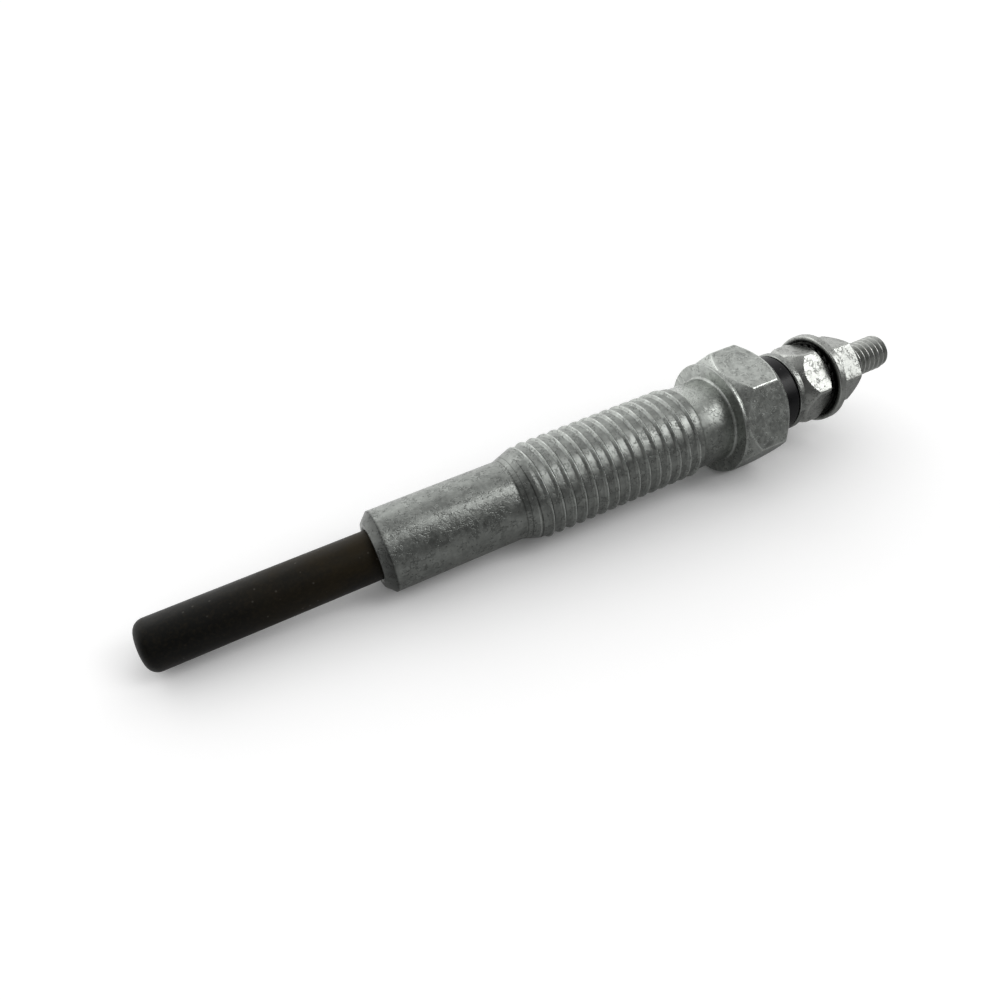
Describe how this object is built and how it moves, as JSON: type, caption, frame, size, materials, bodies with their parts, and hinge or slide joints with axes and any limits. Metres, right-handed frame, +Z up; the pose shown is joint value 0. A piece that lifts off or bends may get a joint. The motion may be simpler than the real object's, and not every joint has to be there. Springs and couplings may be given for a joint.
{
  "type": "diesel glow plug",
  "caption": "Sheathed-element diesel glow plug: dark heater tube, plain steel nose with conical seat, mounting thread, chamfered wrench hexagon, black insulator and nut-clamped terminal stud.",
  "frame": {"origin": "On the plug's axis, at the rear end of the full mounting thread, where it runs out to the neck.", "axes": "+X runs along the plug's axis from the heater tip to the terminal stud. +Z is up, square to one flat of the wrench hexagon. +Y is level and completes a right-handed frame."},
  "size_m": [0.0859, 0.0138, 0.0124],
  "materials": {
    "plated_steel": "satin zinc plating, mottled, with fine pits",
    "heat_blackened_alloy": "blackened by heat, dull, with a faint brown tint",
    "coil_wire": "drawn resistance wire",
    "magnesia": "pressed powder",
    "seal_rubber": "matte",
    "stud_steel": "satin zinc plating on a rolled thread",
    "insulator_black": "moulded, semi-gloss black",
    "bright_zinc": "bright zinc plating with fine speckles"
  },
  "bodies": {
    "root": {"housing": "plated_steel", "heater_sheath": "heat_blackened_alloy", "heating_coil": "coil_wire", "regulating_coil": "coil_wire", "magnesia_filling": "magnesia", "sheath_seal": "seal_rubber", "centre_rod": "stud_steel", "housing_seal": "seal_rubber", "insulator": "insulator_black", "clamp_washer": "bright_zinc", "clamp_nut": "bright_zinc", "terminal_nut": "bright_zinc"}
  },
  "joints": []
}
